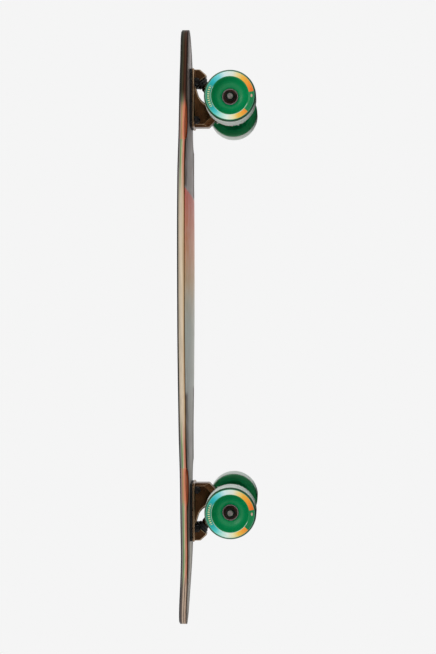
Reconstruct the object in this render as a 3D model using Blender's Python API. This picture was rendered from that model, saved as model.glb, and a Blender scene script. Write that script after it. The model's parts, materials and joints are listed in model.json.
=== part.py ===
"""Skateboard: a pintail cruiser deck on two sprung trucks with four soft wheels.

Metres. +X runs to the nose, +Y to the far rail, +Z up. The floor is z = 0.
Truck shapes are laid out in (u, w): u runs from the middle of the baseplate
towards the nearer deck tip, w runs down from the baseplate's deck face.
"""

import math

import bmesh
import bpy
from mathutils import Matrix, Vector

# --- driving sizes ---------------------------------------------------------
DECK_LENGTH = 0.838
DECK_HALF_WIDTH = 0.1245
DECK_THICKNESS = 0.0096
NOSE_RISE = 0.0010
TAIL_RISE = 0.0050
RAIL_RISE = 0.0008
RAIL_CHAMFER = 0.0015
GRIP_THICKNESS = 0.0008

WHEEL_RADIUS = 0.035
WHEEL_HALF_WIDTH = 0.0255
WHEEL_CENTRE_Y = 0.0855
BEARING_RADIUS = 0.011
BEARING_WIDTH = 0.007
BEARING_FACE = 0.012

TRUCK_HEIGHT = 0.0553
RISER_THICKNESS = 0.0035
FRONT_TRUCK_AT = 0.7685
REAR_TRUCK_AT = -0.6173
AXLE_U = -0.0103
AXLE_RADIUS = 0.0039

FLANGE_HALF_LENGTH = 0.0412
FLANGE_HALF_WIDTH = 0.028
FLANGE_THICKNESS = 0.0032
BLOCK_HALF_WIDTH = 0.014
BLOCK_BEVEL = 0.0046
BOLT_SPACING_X = 0.05398
BOLT_SPACING_Y = 0.04128
BOLT_INBOARD = 0.0042
BOLT_RADIUS = 0.00235

KINGPIN_LEAN = math.radians(5.0)
KINGPIN_RADIUS = 0.0048
BUSHING_RADIUS = 0.0096
BUSHING_TO_AXLE = 0.001008
SEAT_W = 0.0340
SEAT_U = AXLE_U - (AXLE_RADIUS + BUSHING_RADIUS + BUSHING_TO_AXLE
                   - (TRUCK_HEIGHT - SEAT_W) * math.sin(KINGPIN_LEAN)) / math.cos(KINGPIN_LEAN)
BOARD_BUSHING = 0.0125
ROAD_BUSHING = 0.0095
RING_HALF = 0.004
RING_RADIUS = 0.0128
WASHER_THICKNESS = 0.0013
MOUTH_U, MOUTH_W = 0.0246, 0.0111
STUB_RADIUS = 0.0050
CUP_RADIUS = 0.0070
CUP_DEPTH = 0.0066
COLLAR_RADIUS = 0.0095

GAP = 0.0003

# --- derived heights -------------------------------------------------------
HALF_LENGTH = DECK_LENGTH / 2
BASE_Z = WHEEL_RADIUS + TRUCK_HEIGHT
DECK_BOTTOM = BASE_Z + RISER_THICKNESS
DECK_TOP = DECK_BOTTOM + DECK_THICKNESS
FLANGE_LOW = BASE_Z - FLANGE_THICKNESS

# Half of the deck's outline, nose to tail, as fractions of its half sizes.
OUTLINE = [
    (1.0, 0.0), (0.9945, 0.135), (0.974, 0.270), (0.940, 0.385),
    (0.890, 0.488), (0.790, 0.650), (0.632, 0.8115), (0.530, 0.905),
    (0.430, 0.967), (0.330, 0.995), (0.227, 1.0), (0.110, 0.990),
    (-0.010, 0.967), (-0.110, 0.918), (-0.212, 0.852), (-0.300, 0.782),
    (-0.382, 0.715), (-0.449, 0.670), (-0.560, 0.604), (-0.660, 0.540),
    (-0.753, 0.467), (-0.854, 0.373), (-0.921, 0.315), (-0.962, 0.245),
    (-0.988, 0.150), (-1.0, 0.0),
]
OUTLINE_STEPS = 2
DECK_COLUMNS = 8
TIP_HALF_WIDTH = 0.005

# Baseplate block, one outline in its middle and one on its two side faces.
BLOCK_MIDDLE = [
    (-0.0400, 0.0022), (-0.0400, 0.0232), (-0.0300, 0.0330),
    (-0.0160, 0.0346), (-0.0137, 0.0290), (-0.0103, 0.0230),
    (-0.0062, 0.0178), (-0.0022, 0.0128), (0.0025, 0.0093),
    (0.0080, 0.0074), (0.0140, 0.0056), (0.0186, 0.0033),
    (0.0306, 0.0190), (0.0330, 0.0198), (0.0412, 0.0106),
    (0.0412, 0.0022),
]
BLOCK_SIDE = [
    (-0.0366, 0.0018), (-0.0366, 0.0158), (-0.0245, 0.0280),
    (-0.0188, 0.0302), (-0.0160, 0.0262), (-0.0122, 0.0212),
    (-0.0080, 0.0163), (-0.0038, 0.0115), (0.0014, 0.0083),
    (0.0072, 0.0065), (0.0134, 0.0048), (0.0184, 0.0028),
    (0.0300, 0.0178), (0.0322, 0.0187), (0.0402, 0.0097),
    (0.0402, 0.0018),
]

COLOURS = {
    "deck_wood": ((0.62, 0.50, 0.38), 0.45, 0.0),
    "grip": ((0.030, 0.030, 0.032), 0.95, 0.0),
    "riser_rubber": ((0.018, 0.018, 0.018), 0.75, 0.0),
    "baseplate_bronze": ((0.20, 0.125, 0.065), 0.38, 0.6),
    "hanger_bronze": ((0.20, 0.125, 0.065), 0.38, 0.6),
    "pivot_urethane": ((0.015, 0.015, 0.015), 0.6, 0.0),
    "kingpin_steel": ((0.55, 0.55, 0.56), 0.35, 1.0),
    "nut_steel": ((0.50, 0.50, 0.51), 0.4, 1.0),
    "washer_steel": ((0.60, 0.60, 0.61), 0.35, 1.0),
    "bushing_urethane": ((0.02, 0.20, 0.10), 0.45, 0.0),
    "axle_steel": ((0.62, 0.62, 0.63), 0.3, 1.0),
    "wheel_urethane": ((0.004, 0.195, 0.072), 0.4, 0.0),
    "bearing_steel": ((0.70, 0.70, 0.71), 0.25, 1.0),
    "spacer_steel": ((0.60, 0.60, 0.61), 0.35, 1.0),
    "axle_nut_dark": ((0.05, 0.05, 0.055), 0.4, 0.8),
    "bolt_dark": ((0.03, 0.03, 0.032), 0.4, 0.8),
    "lock_nut_dark": ((0.03, 0.03, 0.032), 0.45, 0.8),
}


# --- scene set-up ----------------------------------------------------------
def clear_scene():
    for item in list(bpy.data.objects):
        bpy.data.objects.remove(item, do_unlink=True)


def make_collection(name):
    made = bpy.data.collections.new(name)
    bpy.context.scene.collection.children.link(made)
    return made


def make_materials():
    made = {}
    for name, (colour, rough, metal) in COLOURS.items():
        material = bpy.data.materials.new(name)
        material.use_nodes = True
        shader = material.node_tree.nodes["Principled BSDF"]
        shader.inputs["Base Color"].default_value = (*colour, 1.0)
        shader.inputs["Roughness"].default_value = rough
        shader.inputs["Metallic"].default_value = metal
        material.diffuse_color = (*colour, 1.0)
        made[name] = material
    return made


clear_scene()
PARTS = make_collection("skateboard")
CUTTERS = make_collection("cutters")
MATERIALS = make_materials()


def add_object(name, bm, slot=None, origin=(0.0, 0.0, 0.0), round_edges=True):
    """A named object from a bmesh in world places, its origin where asked."""
    origin = Vector(origin)
    bmesh.ops.translate(bm, vec=-origin, verts=bm.verts)
    bmesh.ops.recalc_face_normals(bm, faces=bm.faces)
    mesh = bpy.data.meshes.new(name)
    bm.to_mesh(mesh)
    bm.free()
    made = bpy.data.objects.new(name, mesh)
    made.location = origin
    if slot is None:
        CUTTERS.objects.link(made)
        made.hide_render = True
        made.display_type = "WIRE"
        return made
    PARTS.objects.link(made)
    mesh.materials.append(MATERIALS[slot])
    if round_edges:
        mesh.shade_smooth()
        mesh.set_sharp_from_angle(angle=math.radians(30))
    return made


def combine(target, operation, operand):
    step = target.modifiers.new(operand.name, "BOOLEAN")
    step.operation = operation
    step.solver = "EXACT"
    step.object = operand


# --- shape makers ----------------------------------------------------------
def axis_frame(point, direction):
    """A matrix that carries local +Z onto the direction, through the point."""
    turn = Vector(direction).normalized().to_track_quat("Z", "Y").to_matrix().to_4x4()
    return Matrix.Translation(point) @ turn


def hex_reach(radius, angle):
    """How far a hexagon's side is from its middle, at an angle."""
    step = math.radians(60)
    return radius / math.cos((angle % step) - step / 2)


def add_turned(bm, profile, segments, frame, closed=True):
    """Turn (radius, height[, 'hex']) points about the frame's Z axis."""
    rings = []
    for point in profile:
        radius, height = point[0], point[1]
        if radius == 0.0:
            rings.append([bm.verts.new(frame @ Vector((0, 0, height)))])
            continue
        ring = []
        for step in range(segments):
            angle = 2 * math.pi * step / segments
            reach = hex_reach(radius, angle) if len(point) > 2 else radius
            place = Vector((reach * math.cos(angle), reach * math.sin(angle), height))
            ring.append(bm.verts.new(frame @ place))
        rings.append(ring)
    pairs = list(zip(rings, rings[1:]))
    if closed:
        pairs.append((rings[-1], rings[0]))
    for low, high in pairs:
        if len(low) == 1 and len(high) == 1:
            continue
        for step in range(segments):
            after = (step + 1) % segments
            corners = [low[step % len(low)], low[after % len(low)],
                       high[after % len(high)], high[step % len(high)]]
            unique = list(dict.fromkeys(corners))
            bm.faces.new(unique)


def turned(profile, segments, frame, closed=True):
    bm = bmesh.new()
    add_turned(bm, profile, segments, frame, closed)
    return bm


def add_loft(bm, loops):
    """Join loops of the same length in order, and cap both ends."""
    rows = [[bm.verts.new(place) for place in loop] for loop in loops]
    count = len(rows[0])
    for low, high in zip(rows, rows[1:]):
        for step in range(count):
            after = (step + 1) % count
            bm.faces.new([low[step], low[after], high[after], high[step]])
    bm.faces.new(rows[0])
    bm.faces.new(rows[-1])


def loft(loops):
    bm = bmesh.new()
    add_loft(bm, loops)
    return bm


def hull(points):
    bm = bmesh.new()
    for place in points:
        bm.verts.new(place)
    bmesh.ops.convex_hull(bm, input=bm.verts)
    loose = [v for v in bm.verts if not v.link_faces]
    bmesh.ops.delete(bm, geom=loose, context="VERTS")
    return bm


def circle_points(frame, radius, height, segments=24):
    return [
        frame @ Vector((radius * math.cos(2 * math.pi * i / segments),
                        radius * math.sin(2 * math.pi * i / segments), height))
        for i in range(segments)
    ]


def rounded_rectangle(half_x, half_y, radius, per_corner=5):
    loop = []
    for sign_x, sign_y, start in ((1, 1, 0), (-1, 1, 90), (-1, -1, 180), (1, -1, 270)):
        for i in range(per_corner):
            angle = math.radians(start + 90 * i / (per_corner - 1))
            loop.append((sign_x * (half_x - radius) + radius * math.cos(angle),
                         sign_y * (half_y - radius) + radius * math.sin(angle)))
    return loop


# --- deck ------------------------------------------------------------------
def spline(points, steps):
    """A Catmull-Rom curve through the points, mirrored past both tips."""
    first, last = points[1], points[-2]
    padded = [(first[0], -first[1]), *points, (last[0], -last[1])]
    curve = []
    for i in range(1, len(padded) - 2):
        p0, p1, p2, p3 = (Vector(padded[i + k]) for k in (-1, 0, 1, 2))
        for step in range(steps):
            t = step / steps
            place = 0.5 * (2 * p1 + (p2 - p0) * t + (2 * p0 - 5 * p1 + 4 * p2 - p3) * t**2
                           + (3 * p1 - p0 - 3 * p2 + p3) * t**3)
            curve.append((place.x, place.y))
    curve.append(points[-1])
    return curve


def outline_rows():
    """(x, half width) pairs, nose to tail, with both tips squared off."""
    rows = [(x * HALF_LENGTH, max(w * DECK_HALF_WIDTH, TIP_HALF_WIDTH))
            for x, w in spline(OUTLINE, OUTLINE_STEPS)]
    return rows


ROWS = outline_rows()


def half_width_at(x):
    for (x1, w1), (x0, w0) in zip(ROWS, ROWS[1:]):
        if x0 <= x <= x1:
            return w0 + (w1 - w0) * (x - x0) / (x1 - x0)
    return TIP_HALF_WIDTH


def ease(value, low, high):
    t = min(max((value - low) / (high - low), 0.0), 1.0)
    return t * t * (3 - 2 * t)


FRONT_X = FRONT_TRUCK_AT * HALF_LENGTH
REAR_X = REAR_TRUCK_AT * HALF_LENGTH


def deck_rise(x, across):
    """Lift of the deck over its flat truck seats, across from -1 to 1."""
    reach = FLANGE_HALF_LENGTH + 0.004
    nose = ease(x, FRONT_X + reach, HALF_LENGTH + 0.02) * NOSE_RISE / 0.83
    tail = ease(-x, -REAR_X + reach, HALF_LENGTH + 0.02) * TAIL_RISE / 0.92
    middle = ease(x, REAR_X + reach, REAR_X + 0.12) * ease(-x, -FRONT_X + reach, -FRONT_X + 0.12)
    return nose + tail + middle * RAIL_RISE * abs(across) ** 2.2


def surface_points(x, half, base, reverse=False):
    """A line of points across the deck at one height above its flat."""
    line = []
    for i in range(DECK_COLUMNS + 1):
        across = -1 + 2 * i / DECK_COLUMNS
        line.append((x, across * half, base + deck_rise(x, across)))
    return line[::-1] if reverse else line


def deck_loops():
    loops = []
    for x, half in ROWS:
        edge = min(RAIL_CHAMFER, half * 0.3)
        rise = deck_rise(x, 1.0)
        low, high = DECK_BOTTOM + rise + edge, DECK_TOP + rise - edge
        loops.append([
            *surface_points(x, half - edge, DECK_BOTTOM),
            (x, half, low), (x, half, high),
            *surface_points(x, half - edge, DECK_TOP, reverse=True),
            (x, -half, high), (x, -half, low),
        ])
    return loops


def grip_loops():
    loops = []
    inset = RAIL_CHAMFER + GAP
    low = DECK_TOP + GAP
    for x, half in ROWS:
        inner = max(half - inset, TIP_HALF_WIDTH * 0.6)
        x_in = max(min(x, HALF_LENGTH - inset), -HALF_LENGTH + inset)
        if loops and abs(loops[-1][0][0] - x_in) < 1e-5:
            continue
        loops.append([*surface_points(x_in, inner, low),
                      *surface_points(x_in, inner, low + GRIP_THICKNESS, reverse=True)])
    return loops


def bolt_places():
    for centre in (FRONT_X - BOLT_INBOARD, REAR_X + BOLT_INBOARD):
        for sign_x in (1, -1):
            for sign_y in (-1, 1):
                yield (centre + sign_x * BOLT_SPACING_X / 2, sign_y * BOLT_SPACING_Y / 2)


def bolt_cutter(name, radius, low, high, places, sink=0.0):
    """Cylinders through a plate, widened at the top when sink is a depth."""
    bm = bmesh.new()
    for x, y in places:
        frame = Matrix.Translation((x, y, 0))
        profile = [(0.0, low), (radius, low)]
        if sink:
            wide = radius + sink
            profile += [(radius, DECK_TOP - sink), (wide, DECK_TOP), (wide, high)]
        else:
            profile += [(radius, high)]
        profile += [(0.0, high)]
        add_turned(bm, profile, 12, frame, closed=False)
    return add_object(name, bm)


WELL_INWARD = 0.026
WELL_HALF_LENGTH = 0.032
WELL_REACH = 0.028
WELL_DEPTH = 0.0030
WELL_TILT = math.radians(2.8)


def well_cutter():
    """Four shallow scoops in the underside, beside the inner edge of each wheel."""
    bm = bmesh.new()
    for centre, side in ((FRONT_X + AXLE_U, 1), (REAR_X - AXLE_U, -1)):
        x = centre - side * WELL_INWARD
        for sign_y in (-1, 1):
            y = sign_y * (half_width_at(x) + 0.002)
            frame = (Matrix.Translation((x, y, DECK_BOTTOM))
                     @ Matrix.Rotation(side * WELL_TILT, 4, "Y")
                     @ Matrix.Diagonal((WELL_HALF_LENGTH, WELL_REACH, WELL_DEPTH, 1)))
            arc = [math.radians(-90 + 18 * i) for i in range(11)]
            profile = [(math.cos(a) if abs(a) < 1.57 else 0.0, math.sin(a)) for a in arc]
            add_turned(bm, profile, 24, frame, closed=False)
    return add_object("cut_wheel_wells", bm)


deck = add_object("deck", loft(deck_loops()), "deck_wood")
combine(deck, "DIFFERENCE", bolt_cutter(
    "cut_deck_bolts", BOLT_RADIUS + 0.0004, DECK_BOTTOM - 0.01, DECK_TOP + 0.01,
    bolt_places(), sink=0.0026))
combine(deck, "DIFFERENCE", well_cutter())

grip = add_object("grip_tape", loft(grip_loops()), "grip")
combine(grip, "DIFFERENCE", bolt_cutter(
    "cut_grip_bolts", 0.0054, DECK_TOP - 0.005, DECK_TOP + 0.01, bolt_places()))


# --- trucks ----------------------------------------------------------------
class Truck:
    """One truck's places: u and w turned into world points and directions."""

    def __init__(self, name, x, side):
        self.name, self.x, self.side = name, x, side
        self.kingpin = self.direction(-math.sin(KINGPIN_LEAN), math.cos(KINGPIN_LEAN))
        self.seat = self.at(SEAT_U, SEAT_W)
        stack = WASHER_THICKNESS + BOARD_BUSHING + RING_HALF
        self.ring = self.seat + self.kingpin * stack
        mouth = self.at(MOUTH_U, MOUTH_W)
        self.steer = (mouth - self.ring).normalized()
        self.reach = (mouth - self.ring).length
        self.axle = self.at(AXLE_U, TRUCK_HEIGHT)

    def at(self, u, w, y=0.0):
        return Vector((self.x + self.side * u, y, BASE_Z - w))

    def direction(self, u, w):
        return Vector((self.side * u, 0.0, -w)).normalized()

    def bolts(self):
        return [(x, y) for x, y in bolt_places() if abs(x - self.x) < BOLT_SPACING_X]


def make_riser(truck):
    loop = rounded_rectangle(FLANGE_HALF_LENGTH - 0.0006, FLANGE_HALF_WIDTH + 0.001, 0.008)
    heights = (BASE_Z + GAP, DECK_BOTTOM - GAP)
    body = loft([[(truck.x + x, y, z) for x, y in loop] for z in heights])
    riser = add_object(f"riser_{truck.name}", body, "riser_rubber")
    combine(riser, "DIFFERENCE", bolt_cutter(
        f"cut_riser_{truck.name}", BOLT_RADIUS + 0.0004, BASE_Z - 0.01, DECK_BOTTOM + 0.01,
        truck.bolts()))


def make_baseplate(truck):
    lip = 0.0008
    wide = rounded_rectangle(FLANGE_HALF_LENGTH, FLANGE_HALF_WIDTH, 0.0075)
    slim = rounded_rectangle(FLANGE_HALF_LENGTH - lip, FLANGE_HALF_WIDTH - lip, 0.0067)
    layers = [(wide, 0.0), (wide, FLANGE_THICKNESS - lip), (slim, FLANGE_THICKNESS)]
    body = loft([[truck.at(x, w, y) for x, y in loop] for loop, w in layers])
    plate = add_object(f"baseplate_{truck.name}", body, "baseplate_bronze")

    inner, edge = BLOCK_HALF_WIDTH - BLOCK_BEVEL, BLOCK_HALF_WIDTH - 0.0014
    shoulder = [(a + (b - a) * 0.4, c + (d - c) * 0.4)
                for (a, c), (b, d) in zip(BLOCK_SIDE, BLOCK_MIDDLE)]
    sections = [(BLOCK_SIDE, -BLOCK_HALF_WIDTH), (shoulder, -edge), (BLOCK_MIDDLE, -inner),
                (BLOCK_MIDDLE, inner), (shoulder, edge), (BLOCK_SIDE, BLOCK_HALF_WIDTH)]
    block = add_object(f"add_block_{truck.name}",
                       loft([[truck.at(u, w, y) for u, w in loop] for loop, y in sections]))
    combine(plate, "UNION", block)

    pin = axis_frame(truck.seat, truck.kingpin)
    head_low = -0.022
    profile = [(0.0, -0.05), (0.0088, -0.05), (0.0088, head_low),
               (KINGPIN_RADIUS + GAP, head_low), (KINGPIN_RADIUS + GAP, 0.02), (0.0, 0.02)]
    combine(plate, "DIFFERENCE", add_object(
        f"cut_kingpin_{truck.name}", turned(profile, 24, pin, closed=False)))

    socket = axis_frame(truck.ring, truck.steer)
    radius = CUP_RADIUS + 0.00025
    d, deep = truck.reach, truck.reach + CUP_DEPTH + GAP
    profile = [(0.0, d - 0.010), (COLLAR_RADIUS + GAP, d - 0.010), (COLLAR_RADIUS + GAP, d),
               (radius, d), (radius, deep), (0.0, deep)]
    combine(plate, "DIFFERENCE", add_object(
        f"cut_pivot_{truck.name}", turned(profile, 24, socket, closed=False)))
    combine(plate, "DIFFERENCE", bolt_cutter(
        f"cut_plate_bolts_{truck.name}", BOLT_RADIUS + 0.0004, FLANGE_LOW - 0.01,
        BASE_Z + 0.01, truck.bolts()))


def make_pivot_cup(truck):
    d, r, bore = truck.reach, CUP_RADIUS, STUB_RADIUS + 0.00025
    profile = [(0.0, d + CUP_DEPTH), (r, d + CUP_DEPTH), (r, d - GAP), (COLLAR_RADIUS, d - GAP),
               (COLLAR_RADIUS, d - 0.0036), (r - 0.0002, d - 0.008), (bore, d - 0.008),
               (bore, d + CUP_DEPTH - 0.0008), (0.0, d + CUP_DEPTH - 0.0008)]
    body = turned(profile, 24, axis_frame(truck.ring, truck.steer), closed=False)
    add_object(f"pivot_cup_{truck.name}", body, "pivot_urethane")


def make_kingpin_stack(truck):
    frame = axis_frame(truck.seat, truck.kingpin)
    name, hole = truck.name, KINGPIN_RADIUS + 0.0003
    ring_top = WASHER_THICKNESS + BOARD_BUSHING
    ring_low = ring_top + 2 * RING_HALF
    washer_low = ring_low + ROAD_BUSHING
    nut_top = washer_low + WASHER_THICKNESS + GAP
    nut_low = nut_top + 0.006

    profile = [(0.0, -0.0290), (0.0070, -0.0290), (0.0078, -0.0282), (0.0078, -0.0223),
               (KINGPIN_RADIUS, -0.0223), (KINGPIN_RADIUS, nut_low + 0.0014),
               (KINGPIN_RADIUS - 0.0006, nut_low + 0.002), (0.0, nut_low + 0.002)]
    add_object(f"kingpin_{name}", turned(profile, 20, frame, closed=False), "kingpin_steel")

    nut = [(hole, nut_top), (0.00715, nut_top, "hex"), (0.00715, nut_low, "hex"), (hole, nut_low)]
    add_object(f"kingpin_nut_{name}", turned(nut, 12, frame), "nut_steel")

    rim, wall, deep = BUSHING_RADIUS + 0.0006, 0.0006, 0.0025
    cup = [(hole, 0.0), (rim + wall, 0.0), (rim + wall, deep), (rim, deep),
           (rim, WASHER_THICKNESS), (hole, WASHER_THICKNESS)]
    top = [(r, h + GAP) for r, h in cup]
    bottom = [(r, washer_low + WASHER_THICKNESS - h) for r, h in cup]
    add_object(f"washer_top_{name}", turned(top, 20, frame), "washer_steel")
    add_object(f"washer_bottom_{name}", turned(bottom, 20, frame), "washer_steel")

    low, high = WASHER_THICKNESS + 2 * GAP, ring_top - GAP
    board = [(hole, low), (BUSHING_RADIUS, low), (BUSHING_RADIUS, high), (hole, high)]
    add_object(f"bushing_board_{name}", turned(board, 20, frame), "bushing_urethane")
    low, high = ring_low + GAP, washer_low - GAP
    road = [(hole, low), (BUSHING_RADIUS, low), (BUSHING_RADIUS - 0.0012, high), (hole, high)]
    add_object(f"bushing_road_{name}", turned(road, 20, frame), "bushing_urethane")


BEAM_END = WHEEL_CENTRE_Y - BEARING_FACE - 0.0015


def make_hanger(truck):
    name = truck.name
    across = axis_frame(truck.axle, (0, 1, 0))
    ring = axis_frame(truck.ring, truck.kingpin)
    steer = axis_frame(truck.ring, truck.steer)

    half = [(0.0080, 0.030), (0.0074, 0.045), (0.0072, BEAM_END - 0.004),
            (0.0062, BEAM_END - 0.003), (0.0062, BEAM_END)]
    profile = ([(0.0, -BEAM_END)] + [(r, -h) for r, h in reversed(half)] + half
               + [(0.0, BEAM_END)])
    hanger = add_object(f"hanger_{name}", turned(profile, 24, across, closed=False),
                        "hanger_bronze", origin=truck.ring)

    slab = RING_HALF + 0.0012
    web = hull(circle_points(ring, RING_RADIUS, -slab) + circle_points(ring, RING_RADIUS, slab)
               + circle_points(across, 0.0070, -0.034) + circle_points(across, 0.0070, 0.034))
    combine(hanger, "UNION", add_object(f"add_web_{name}", web))

    root = truck.reach * 0.46
    rib = hull(circle_points(across, 0.0076, -0.010) + circle_points(across, 0.0076, 0.010)
               + circle_points(steer, 0.0066, root) + circle_points(steer, 0.0064, root + 0.006))
    combine(hanger, "UNION", add_object(f"add_rib_{name}", rib))

    d = truck.reach
    arm = [(0.0, root + 0.001), (0.0062, root + 0.001), (0.0060, d - 0.0100),
           (STUB_RADIUS, d - 0.0088), (STUB_RADIUS, d + 0.0028), (STUB_RADIUS * 0.72, d + 0.0045),
           (0.0, d + 0.0052)]
    combine(hanger, "UNION", add_object(
        f"add_arm_{name}", turned(arm, 24, steer, closed=False)))

    pocket = BUSHING_RADIUS + 0.0010
    for label, sign in (("board", -1), ("road", 1)):
        edge, flare, far = (sign * (RING_HALF + h) for h in (0.0, 0.006, 0.022))
        cut = [(0.0, edge), (pocket, edge), (pocket + 0.0022, flare),
               (pocket + 0.0022, far), (0.0, far)]
        combine(hanger, "DIFFERENCE", add_object(
            f"cut_{label}_pocket_{name}", turned(cut, 24, ring, closed=False)))
    hole = KINGPIN_RADIUS + 0.0016
    cut = [(0.0, -0.012), (hole, -0.012), (hole, 0.012), (0.0, 0.012)]
    combine(hanger, "DIFFERENCE", add_object(
        f"cut_ring_{name}", turned(cut, 24, ring, closed=False)))
    bore, far = AXLE_RADIUS + 0.0003, BEAM_END + 0.01
    cut = [(0.0, -far), (bore, -far), (bore, far), (0.0, far)]
    combine(hanger, "DIFFERENCE", add_object(
        f"cut_axle_{name}", turned(cut, 16, across, closed=False)))


NUT_INNER = BEARING_FACE + 0.0013
NUT_HEIGHT = 0.0065


def make_axle(truck):
    across = axis_frame(truck.axle, (0, 1, 0))
    end = WHEEL_CENTRE_Y + NUT_INNER + NUT_HEIGHT + 0.0025
    slim = AXLE_RADIUS - 0.0008
    profile = [(0.0, -end), (slim, -end), (AXLE_RADIUS, -end + 0.0008),
               (AXLE_RADIUS, end - 0.0008), (slim, end), (0.0, end)]
    add_object(f"axle_{truck.name}", turned(profile, 16, across, closed=False),
               "axle_steel", origin=truck.ring)


def wheel_profile():
    r, h, seat = WHEEL_RADIUS, WHEEL_HALF_WIDTH, BEARING_FACE + 0.0004
    bore, land = BEARING_RADIUS + 0.00025, BEARING_FACE - BEARING_WIDTH - 0.0003
    half = [(bore - 0.0018, land), (bore, land), (bore, seat), (bore + 0.0035, seat + 0.0004),
            (r - 0.0160, seat + 0.0034), (r - 0.0098, h - 0.0010), (r - 0.0032, h),
            (r - 0.0010, h - 0.0024), (r, h - 0.0062)]
    return half + [(x, -y) for x, y in reversed(half)]


def make_wheel(truck, label, sign):
    centre = Vector((truck.axle.x, sign * WHEEL_CENTRE_Y, truck.axle.z))
    out = axis_frame(centre, (0, sign, 0))
    name = f"{truck.name}_{label}"
    add_object(f"wheel_{name}", turned(wheel_profile(), 32, out), "wheel_urethane", origin=centre)

    inner = AXLE_RADIUS + 0.00025
    for place, middle in (("out", 1), ("in", -1)):
        mid = middle * (BEARING_FACE - BEARING_WIDTH / 2)
        low, high = mid - BEARING_WIDTH / 2, mid + BEARING_WIDTH / 2
        ring = [(inner, low), (BEARING_RADIUS, low), (BEARING_RADIUS, high), (inner, high)]
        add_object(f"bearing_{name}_{place}", turned(ring, 24, out), "bearing_steel",
                   origin=centre)

    reach = BEARING_FACE - BEARING_WIDTH - GAP
    tube = [(inner, -reach), (inner + 0.0013, -reach), (inner + 0.0013, reach), (inner, reach)]
    add_object(f"spacer_{name}", turned(tube, 16, out), "spacer_steel", origin=truck.ring)

    low, high = NUT_INNER, NUT_INNER + NUT_HEIGHT
    nut = [(inner, low), (0.00635, low, "hex"), (0.00635, high - 0.0014, "hex"),
           (0.0055, high), (inner, high)]
    add_object(f"axle_nut_{name}", turned(nut, 12, out), "axle_nut_dark", origin=truck.ring)


def make_bolts(truck):
    corners = ("outer_near", "outer_far", "inner_near", "inner_far")
    places = sorted(truck.bolts(), key=lambda p: (-truck.side * p[0], p[1]))
    nut_high = FLANGE_LOW - GAP
    nut_low = nut_high - 0.0063
    head = 0.0024
    for corner, (x, y) in zip(corners, places):
        frame = Matrix.Translation((x, y, 0))
        top = DECK_TOP - 0.0002
        profile = [(0.0, nut_low - 0.0015), (BOLT_RADIUS, nut_low - 0.0015),
                   (BOLT_RADIUS, top - head - 0.0004), (BOLT_RADIUS + head - 0.0002, top - 0.0002),
                   (BOLT_RADIUS + head - 0.0002, top), (0.0, top)]
        add_object(f"deck_bolt_{truck.name}_{corner}", turned(profile, 12, frame, closed=False),
                   "bolt_dark")
        hole = BOLT_RADIUS + 0.0003
        nut = [(hole, nut_low), (0.0040, nut_low), (0.00475, nut_low + 0.0018, "hex"),
               (0.00475, nut_high, "hex"), (hole, nut_high)]
        add_object(f"lock_nut_{truck.name}_{corner}", turned(nut, 12, frame), "lock_nut_dark")


for truck in (Truck("front", FRONT_X, 1), Truck("rear", REAR_X, -1)):
    make_riser(truck)
    make_baseplate(truck)
    make_pivot_cup(truck)
    make_kingpin_stack(truck)
    make_hanger(truck)
    make_axle(truck)
    make_wheel(truck, "near", -1)
    make_wheel(truck, "far", 1)
    make_bolts(truck)
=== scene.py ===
"""Pintail cruiser skateboard: fine shapes, finishes, studio and camera.

Metres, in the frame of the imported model: +X to the nose, +Y to the far rail,
+Z up, and the floor at z = 0. Truck shapes use (u, w): u runs from the middle
of the baseplate towards the nearer tip, w runs down from its deck face.
"""

import json
import math

import bmesh
import bpy
import numpy as np
from mathutils import Matrix, Vector


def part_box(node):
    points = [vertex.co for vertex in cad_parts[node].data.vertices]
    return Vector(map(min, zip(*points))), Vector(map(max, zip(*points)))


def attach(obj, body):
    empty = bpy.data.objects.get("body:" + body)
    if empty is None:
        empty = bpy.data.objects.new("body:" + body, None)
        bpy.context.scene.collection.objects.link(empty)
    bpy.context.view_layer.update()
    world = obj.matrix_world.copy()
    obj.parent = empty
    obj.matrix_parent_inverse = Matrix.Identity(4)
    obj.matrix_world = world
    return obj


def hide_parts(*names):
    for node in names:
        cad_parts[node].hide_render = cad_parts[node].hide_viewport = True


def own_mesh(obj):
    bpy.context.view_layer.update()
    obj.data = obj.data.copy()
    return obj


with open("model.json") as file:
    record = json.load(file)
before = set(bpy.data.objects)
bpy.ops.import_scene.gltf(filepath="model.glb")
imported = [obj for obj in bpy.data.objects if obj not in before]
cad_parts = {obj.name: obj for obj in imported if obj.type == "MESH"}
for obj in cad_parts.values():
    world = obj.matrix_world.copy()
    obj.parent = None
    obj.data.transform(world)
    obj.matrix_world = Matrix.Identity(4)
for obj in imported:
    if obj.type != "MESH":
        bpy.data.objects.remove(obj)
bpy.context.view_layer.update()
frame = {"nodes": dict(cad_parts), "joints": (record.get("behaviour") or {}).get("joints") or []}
NODES = frame["nodes"]

SMOOTH_ANGLE = math.radians(32)
GAP = 0.0003
TURN = 2 * math.pi


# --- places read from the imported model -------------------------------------
def middle(node):
    low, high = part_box(node)
    return (low + high) / 2


DECK_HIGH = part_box("deck")[1]
HALF_LENGTH, HALF_WIDTH = DECK_HIGH.x, DECK_HIGH.y
DECK_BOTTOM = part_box("riser_front")[1].z + GAP
DECK_THICKNESS = 0.0096
DECK_TOP = DECK_BOTTOM + DECK_THICKNESS
GRIP_THICKNESS = 0.0008
BASE_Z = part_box("baseplate_front")[1].z
FLANGE_REACH = 0.0452
NOSE_RISE, TAIL_RISE, RAIL_RISE = 0.0010, 0.0050, 0.0008


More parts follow.
